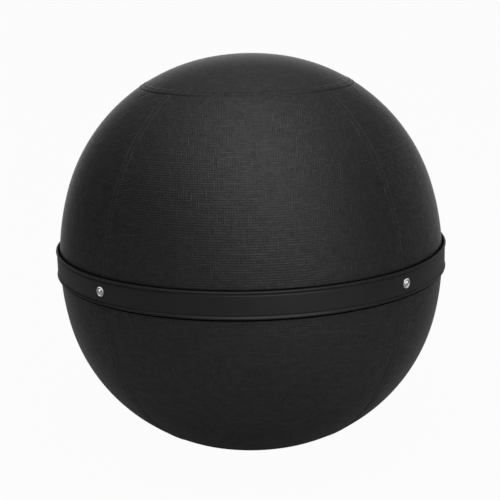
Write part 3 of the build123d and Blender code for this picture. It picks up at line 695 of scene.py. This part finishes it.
beltForm = dict(
    lift=8.0 * mm, width=36.0 * mm, clearance=0.5 * mm, lining=1.4 * mm, face=1.8 * mm, weltWidth=3.2 * mm,
    weltRise=1.0 * mm, grooveDepth=0.8 * mm, grooveWidth=0.7 * mm, rollStart=1.1 * mm, rollEnd=0.5 * mm,
    backInset=0.7 * mm, wave=0.1 * mm, waveRates=(190, 67), waveShift=0.7, feltBelow=2.4 * mm, feltAbove=1.2 * mm,
    jointOffset=28.6 * mm, jointGap=0.6 * mm, stitchPitch=3.4 * mm, stitchInset=4.6 * mm, threadSink=0.8,
    faceRows=81, backRows=9, columns=900)
beltHeight = ballForm["girthHeight"] + beltForm["lift"]
beltInner = ballForm["girthRadius"] + beltForm["clearance"]
beltMiddle = beltInner + beltForm["lining"]
beltOuter = beltMiddle + beltForm["face"]
closingSeam = float(seamAngles[2])
girthDegree = math.radians(ballForm["girthRadius"])
jointAngle = closingSeam + beltForm["jointOffset"] / girthDegree


# Belt face: a flat strap with a turned edge along each side, a half-round of the welt's width, a stitch groove
# inside it, -d exp(-(e/w)^2), and a faint wave along it
def beltFace(name):
    f = beltForm
    half = f["width"] / 2
    h = half * np.sin(np.linspace(-1, 1, f["faceRows"]) * np.pi / 2)
    centre = half - f["weltWidth"] / 2
    fromWelt = np.clip((np.abs(h) - centre) / (f["weltWidth"] / 2), -1, 1)
    welt = f["weltRise"] * np.sqrt(1 - fromWelt ** 2)
    groove = f["grooveDepth"] * bell(np.abs(h) - (half - f["stitchInset"]), f["grooveWidth"])
    rolled = f["face"] * rampUp(np.abs(h), half - f["rollStart"], half + f["rollEnd"])
    outer = f["face"] + welt - groove - rolled
    x = np.concatenate([outer, np.zeros(f["backRows"])])
    up = np.concatenate([h, np.linspace(half - f["backInset"], -half + f["backInset"], f["backRows"])])
    azimuth = np.linspace(jointAngle, jointAngle + 360 - f["jointGap"] / girthDegree, f["columns"])
    run = np.radians(azimuth) * beltOuter
    quick, slow = f["waveRates"]
    wave = f["wave"] * np.sin(run * quick) * np.sin(run * slow + f["waveShift"])
    r = beltMiddle + x[:, None] + wave[None, :] * (x[:, None] > f["face"])
    grid = turned(r, beltHeight + up[:, None], azimuth[None, :])
    uv = np.stack(np.broadcast_arrays(run[None, :], up[:, None]), axis=-1)
    piece = gridPiece(name, grid, uv, leather, wrapAlong=True, ends=True)
    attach(piece, "ball")
    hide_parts("belt_face")


# Lining: a thin felt strap behind the face and proud of its edges, its own long edges softened; its near-black colour
# is painted shade, so the felt showing along the belt's edges stands in for the shadow there
def beltLining(name):
    f = beltForm
    foot = -f["width"] / 2 - f["feltBelow"]
    height = f["width"] + f["feltBelow"] + f["feltAbove"]
    x = np.array([0.97, 0.97, 0.8, 0.3, 0.0, 0.0, 0.3, 0.8])[:, None] * f["lining"]
    up = np.array([0.015, 0.985, 1.0, 1.0, 0.97, 0.03, 0.0, 0.0])[:, None] * height + foot
    azimuth = np.linspace(jointAngle, jointAngle + 360 - f["jointGap"] / girthDegree, f["columns"] // 2)[None, :]
    uv = np.stack(np.broadcast_arrays(np.radians(azimuth) * beltInner, up), axis=-1)
    piece = gridPiece(name, turned(beltInner + x, beltHeight + up, azimuth), uv, shadeLining, wrapAlong=True, ends=True)
    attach(piece, "ball")
    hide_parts("belt_lining")


# Stitches that run level on a cylinder round the belt's axis
def strapStitches(azimuth, height, radius):
    a = np.radians(azimuth)
    outward = np.stack([np.cos(a), np.sin(a), 0 * a], axis=-1)
    run = np.stack([-np.sin(a), np.cos(a), 0 * a], axis=-1)
    return turned(radius, height, azimuth), run, outward


def beltStitches(side):
    f = beltForm
    span = 360 - 4 * f["jointGap"] / girthDegree
    count = int(math.radians(span) * beltOuter / f["stitchPitch"])
    azimuth = jointAngle + 1.5 * f["jointGap"] / girthDegree + np.arange(count) * span / count
    height = beltHeight + side * (f["width"] / 2 - f["stitchInset"])
    return strapStitches(azimuth, height, beltOuter - f["grooveDepth"] * f["threadSink"])


beltFace("belt_strap")
beltLining("belt_back")
sewn("stitches_belt", [beltStitches(-1), beltStitches(1)], beltThread)
print("belt done")

tabForm = dict(
    width=24.0 * mm, hingeOffset=38.0 * mm, tipOffset=21.5 * mm, rootLength=38.0 * mm, tipRound=9.0 * mm,
    rootRound=3.0 * mm, bend=3.0 * mm, wall=3.0 * mm, hollow=1.2 * mm, hollowRadius=6.0 * mm, chamfer=0.25 * mm,
    hollowEdge=0.4 * mm, stitchInset=3.0 * mm, stitchPitch=3.4 * mm, stitchStop=4 * mm, threadSink=0.6,
    grooveDepth=0.25 * mm, grooveWidth=0.6 * mm, edgeDrop=0.7 * mm, dropStart=-0.3 * mm, dropEnd=1.3 * mm,
    rows=61, tipZone=12 * mm, tipSteps=24, middleSteps=160, rootZone=4 * mm, rootSteps=10)
tabInner = beltOuter + beltForm["clearance"]
tabOuter = tabInner + beltForm["lining"] + beltForm["face"]
hingeAngle = closingSeam + tabForm["hingeOffset"] / girthDegree
tipAngle = closingSeam - tabForm["tipOffset"] / girthDegree
tabLength = tabForm["tipOffset"] + tabForm["hingeOffset"] + tabForm["rootLength"]


# Half width of the tab at distance t from its tip, less a margin: straight sides, quarter rounds at the corners
def tabHalf(t, margin=0.0):
    f = tabForm
    tip, root = f["tipRound"], f["rootRound"]
    intoTip = np.clip(tip - t, 0, tip - margin)
    intoRoot = np.clip(t - (tabLength - root), 0, max(root - margin, 0))
    cut = (tip - margin) - np.sqrt((tip - margin) ** 2 - intoTip ** 2)
    return f["width"] / 2 - margin - cut - (root - np.sqrt(root ** 2 - np.minimum(intoRoot, root) ** 2))


# Closing tab: one strap from its sewn root over the hinge line to its round tip, lying on a cylinder, with a
# round hollow in its back where the socket sits
def closingTab(name):
    f = tabForm
    v = np.sin(np.linspace(-1, 1, f["rows"]) * np.pi / 2)[:, None]
    t = np.concatenate([
        np.linspace(0, 1, f["tipSteps"], endpoint=False) ** 2 * f["tipZone"],
        np.linspace(f["tipZone"], tabLength - f["rootZone"], f["middleSteps"], endpoint=False),
        tabLength - np.linspace(1, 0, f["rootSteps"]) ** 2 * f["rootZone"]])[None, :]
    half = tabHalf(t)
    h = v * half
    fromEdge = np.minimum(np.minimum(half - np.abs(h), t), tabLength - t)
    drop = f["edgeDrop"] * (1 - rampUp(fromEdge, f["dropStart"], f["dropEnd"]))
    drop = drop + f["grooveDepth"] * bell(fromEdge - f["stitchInset"], f["grooveWidth"])
    azimuth = tipAngle + t / girthDegree
    fromStud = np.hypot((t - f["tipOffset"]) * tabInner / ballForm["girthRadius"], h)
    edgeIn, edgeOut = f["hollowRadius"] - f["hollowEdge"], f["hollowRadius"] + f["hollowEdge"]
    backR = tabOuter - f["wall"] + f["hollow"] * (1 - rampUp(fromStud, edgeIn, edgeOut))
    side = np.broadcast_to(tabOuter - f["wall"] + f["chamfer"], t.shape)
    r = np.concatenate([tabOuter - drop, side, backR, side])
    up = np.concatenate([h, half, -v * (half - f["chamfer"]), -half])
    uv = np.stack(np.broadcast_arrays(t, up), axis=-1)
    piece = gridPiece(name, turned(r, beltHeight + up, azimuth), uv, leather, wrapAlong=True, ends=True)
    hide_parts("tab_root", "tab_flap")
    bendAngles = hingeAngle + np.array([1, -1]) * f["bend"] / girthDegree
    places = turned(tabOuter, beltHeight, bendAngles)
    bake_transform(piece)


# Stitches inside the tab's edge, between two distances from the tip
def tabStitches(low, high):
    f = tabForm
    t = np.arange(low, high, f["stitchPitch"])
    return [strapStitches(tipAngle + t / girthDegree, beltHeight + side * tabHalf(t, f["stitchInset"]),
                          tabOuter - f["grooveDepth"] * f["threadSink"]) for side in (-1, 1)]


closingTab("closing_tab")
hinge = tabForm["tipOffset"] + tabForm["hingeOffset"]
stop = tabForm["stitchStop"]
sewn("stitches_flap", tabStitches(tabForm["tipRound"], hinge - stop), beltThread, "tab")
sewn("stitches_root", tabStitches(hinge + stop, tabLength - stop), beltThread, "ball")
print("tab done")

studForm = dict(
    radius=6.7 * mm, height=2.4 * mm, sides=48, steps=14, domeReach=0.58, domeFoot=0.30,
    # grooveShade and grooveShadeWidth: painted shade, a dark ring in the chrome's colour at the dome's groove
    ringFoot=0.30, ringTop=0.70, ringWidth=0.36, ringStart=-0.35, groove=0.61, grooveShadeWidth=0.06,
    chrome=(0.88, 0.88, 0.86), grooveShade=(0.02, 0.02, 0.02),
    marks=(300, 300, 300), markRelief=0.03, markDepth=0.05 * mm)
chrome = chromeFinish("studChrome", studForm)


# Stud cap: a dome, foot + (1 - foot) (1 - (rho/reach)^2), set in a half-round rim, closed underneath
def studCap(name, azimuths, foot, body, nodeName):
    f = studForm
    under = np.array([[0.0, 0.0], [0.9, 0.0], [0.965, 0.03], [0.99, 0.10]])
    bow = np.linspace(f["ringStart"], np.pi, f["steps"])
    bar = f["ringWidth"] / 2
    ringHeight = f["ringFoot"] + (f["ringTop"] - f["ringFoot"]) * np.sin(bow)
    ring = np.stack([1 - bar + bar * np.cos(bow), ringHeight], axis=-1)
    rho = np.linspace(f["domeReach"], 0, f["steps"])
    dome = np.stack([rho, f["domeFoot"] + (1 - f["domeFoot"]) * (1 - (rho / f["domeReach"]) ** 2)], axis=-1)
    profile = np.concatenate([under, ring, dome])
    turn = np.linspace(0, 2 * np.pi, f["sides"], endpoint=False)
    unit = np.stack(np.broadcast_arrays(
        profile[:, :1] * np.cos(turn) * f["radius"], profile[:, :1] * np.sin(turn) * f["radius"],
        profile[:, 1:] * f["height"]), axis=-1)
    parts = []
    for azimuth in azimuths:
        a = math.radians(azimuth)
        axes = np.array([[-math.sin(a), math.cos(a), 0], [0, 0, 1], [math.cos(a), math.sin(a), 0]])
        origin = np.array([foot * math.cos(a), foot * math.sin(a), beltHeight])
        parts.append(gridPiece(name, unit @ axes + origin, unit[..., :2], chrome, wrapAcross=True, poles=(0, -1)))
    piece = parts[0]
    if len(parts) > 1:  # like caps are one piece
        with bpy.context.temp_override(active_object=piece, selected_editable_objects=parts):
            bpy.ops.object.join()
    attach(piece, body)
    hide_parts(nodeName)


studCap("stud_domes", [a for a in seamAngles if a != closingSeam], beltOuter, "ball", "stud_caps")
studCap("tab_dome", [closingSeam], tabOuter, "tab", "tab_cap")
print("studs done")

nodeFinishes = {
    "tab_socket": steel, "stud_sockets": steel, "press_studs": steel, "stud_rivets": steel,
    "zip_slider": zipMetal, "zip_pull": zipMetal, "zip_teeth_upper": zipPlastic, "zip_teeth_lower": zipPlastic,
    "zip_stops": zipPlastic, "inner_ball": vinyl, "valve_seat": vinyl, "valve_plug": plugPlastic,
    "ballast_fill": sand}
for nodeName, material in nodeFinishes.items():
    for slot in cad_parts[nodeName].material_slots:
        slot.material = material
print("fittings finished")

stageForm = dict(
    floorHalf=60.0, floorTone=0.39, floorSeen=0.965, sweepTone=1.0, sweepStart=0.25, sweepReach=0.9,
    worldLight=0.15, skyLight=0.36, skyGain=1.6, skyCut=0.6, frontTone=0.03, backTone=0.75,
    fanGain=2.5, fanCut=1.5, wallGain=1.4, wallTone=1.2,
    lamps=[  # place, size, watts, colour
        ((0.22, -1.45, 2.35), (2.2, 4.8), 43, (1, 1, 1)),
        ((1.4, -2.5, 0.75), (1.6, 1.4), 8.5, (1, 1, 1)),
        ((-2.4, 1.6, 0.7), (0.9, 1.4), 0.3, (0.94, 0.96, 1)),
        ((2.4, 1.6, 0.7), (0.9, 1.4), 2.2, (0.94, 0.96, 1))])


# Floor: white where the camera sees it; cloth mirrors it white as (y - start) / reach towards the back, in a
# fan (gain y / r - cut)^2, where r is the distance from the middle
def studioFloor(form):
    half, tone = form["floorHalf"], form["floorTone"]
    mesh = bpy.data.meshes.new("floor")
    mesh.from_pydata([(-half, -half, 0), (half, -half, 0), (half, half, 0), (-half, half, 0)], [], [(0, 1, 2, 3)])
    s = Finish("floorPaper", Roughness=0.9, Specular_IOR_Level=0.1, Base_Color=(tone, tone, tone, 1))
    rays = s.make("ShaderNodeLightPath")
    glow = s.make("ShaderNodeEmission", sockets={"Color": (1, 1, 1, 1), "Strength": 1.0})
    x, y = s.split(s.coords("Object"))[:2]
    sweep = ((y - form["sweepStart"]) / form["sweepReach"]).math("MAXIMUM", 0.0).math("MINIMUM", form["sweepTone"])
    fan = (y / (x * x + y * y) ** 0.5 * form["fanGain"] - form["fanCut"]).math("MAXIMUM", 0.0) ** 2.0
    sheen = rays.pick("Is Glossy Ray") * (1 - rays.pick("Is Singular Ray")) * sweep * fan
    white = rays.pick("Is Camera Ray") * form["floorSeen"] + sheen
    mixed = s.make("ShaderNodeMixShader", sockets={0: white, 2: glow})
    s.tree.links.new(s.shader.outputs[0], mixed.node.inputs[1])
    s.tree.links.new(mixed.socket, s.tree.nodes["Material Output"].inputs["Surface"])
    mesh.materials.append(s.material)
    floor = bpy.data.objects.new("floor", mesh)
    bpy.context.scene.collection.objects.link(floor)


# World: white where the camera sees it. Cloth mirrors a light wall behind, (gain y - cut)^2, and a dark room in
# front; chrome mirrors walls that fade as gain y + tone; the sky overhead adds gain z - cut
def studioWorld(form):
    world = bpy.data.worlds.new("studio")
    bpy.context.scene.world = world
    world.use_nodes = True
    s = Shading(world.node_tree)
    rays = s.make("ShaderNodeLightPath")
    seen = rays.pick("Is Camera Ray")
    glossy = rays.pick("Is Glossy Ray").math("MAXIMUM", rays.pick("Is Transmission Ray"))
    y, z = s.split(s.coords("Generated"))[1:]
    room = (y * form["fanGain"] - form["fanCut"]).math("MAXIMUM", 0.0).math("MINIMUM", 1.0) ** 2.0
    mirrored = form["frontTone"] + room * (form["backTone"] - form["frontTone"])
    walls = (y * form["wallGain"] + form["wallTone"]).math("MAXIMUM", form["frontTone"]).math("MINIMUM", 1.0)
    polished = rays.pick("Is Singular Ray")
    mirrored = polished * walls + (1 - polished) * mirrored
    sky = (z * form["skyGain"] - form["skyCut"]).math("MAXIMUM", 0.0) * form["skyLight"]
    strength = (1 - seen) * (glossy * mirrored + (1 - glossy) * form["worldLight"] + sky) + seen
    back = world.node_tree.nodes["Background"]
    back.inputs["Color"].default_value = (1, 1, 1, 1)
    world.node_tree.links.new(strength.socket, back.inputs["Strength"])


def studioLamps(form):
    target = Vector((0, 0, ballForm["girthHeight"]))
    for number, (place, size, watts, colour) in enumerate(form["lamps"]):
        lamp = bpy.data.lights.new("softbox%d" % number, "AREA")
        lamp.shape, lamp.size, lamp.size_y, lamp.energy, lamp.color = "RECTANGLE", *size, watts, colour
        holder = bpy.data.objects.new(lamp.name, lamp)
        aim = (target - Vector(place)).to_track_quat("-Z", "Y").to_matrix().to_4x4()
        holder.matrix_world = Matrix.Translation(place) @ aim
        bpy.context.scene.collection.objects.link(holder)


cameraForm = dict(
    distance=6.0, elevation=14.5, azimuth=-0.65, focalPixels=1130.0, roll=-1.4, aim=(-0.0048, 0.0292),
    frame=500, sensor=36.0)


# Camera: distance and aim are in girth radii from the middle of the ball, the focal length in pixels of the frame
def photoCamera(form):
    unit = ballForm["girthRadius"]
    turn = Matrix.Rotation(math.radians(form["azimuth"]), 4, "Z")
    ec, es = cosSin(form["elevation"])
    up = Vector((0, 0, ballForm["girthHeight"]))
    place = turn @ (Vector((0, -ec, es)) * form["distance"] * unit) + up
    aim = turn @ Vector((form["aim"][0] * unit, 0, form["aim"][1] * unit)) + up
    lens = bpy.data.cameras.new("photoCamera")
    lens.sensor_width = form["sensor"]
    lens.lens = form["focalPixels"] * lens.sensor_width / form["frame"]
    camera = bpy.data.objects.new("photoCamera", lens)
    look = (aim - place).to_track_quat("-Z", "Y").to_matrix().to_4x4()
    camera.matrix_world = Matrix.Translation(place) @ look @ Matrix.Rotation(math.radians(form["roll"]), 4, "Z")
    bpy.context.scene.collection.objects.link(camera)
    bpy.context.scene.camera = camera


studioFloor(stageForm)
studioWorld(stageForm)
studioLamps(stageForm)
photoCamera(cameraForm)
bpy.context.scene.view_settings.view_transform = "Standard"
print("stage, light and camera set")
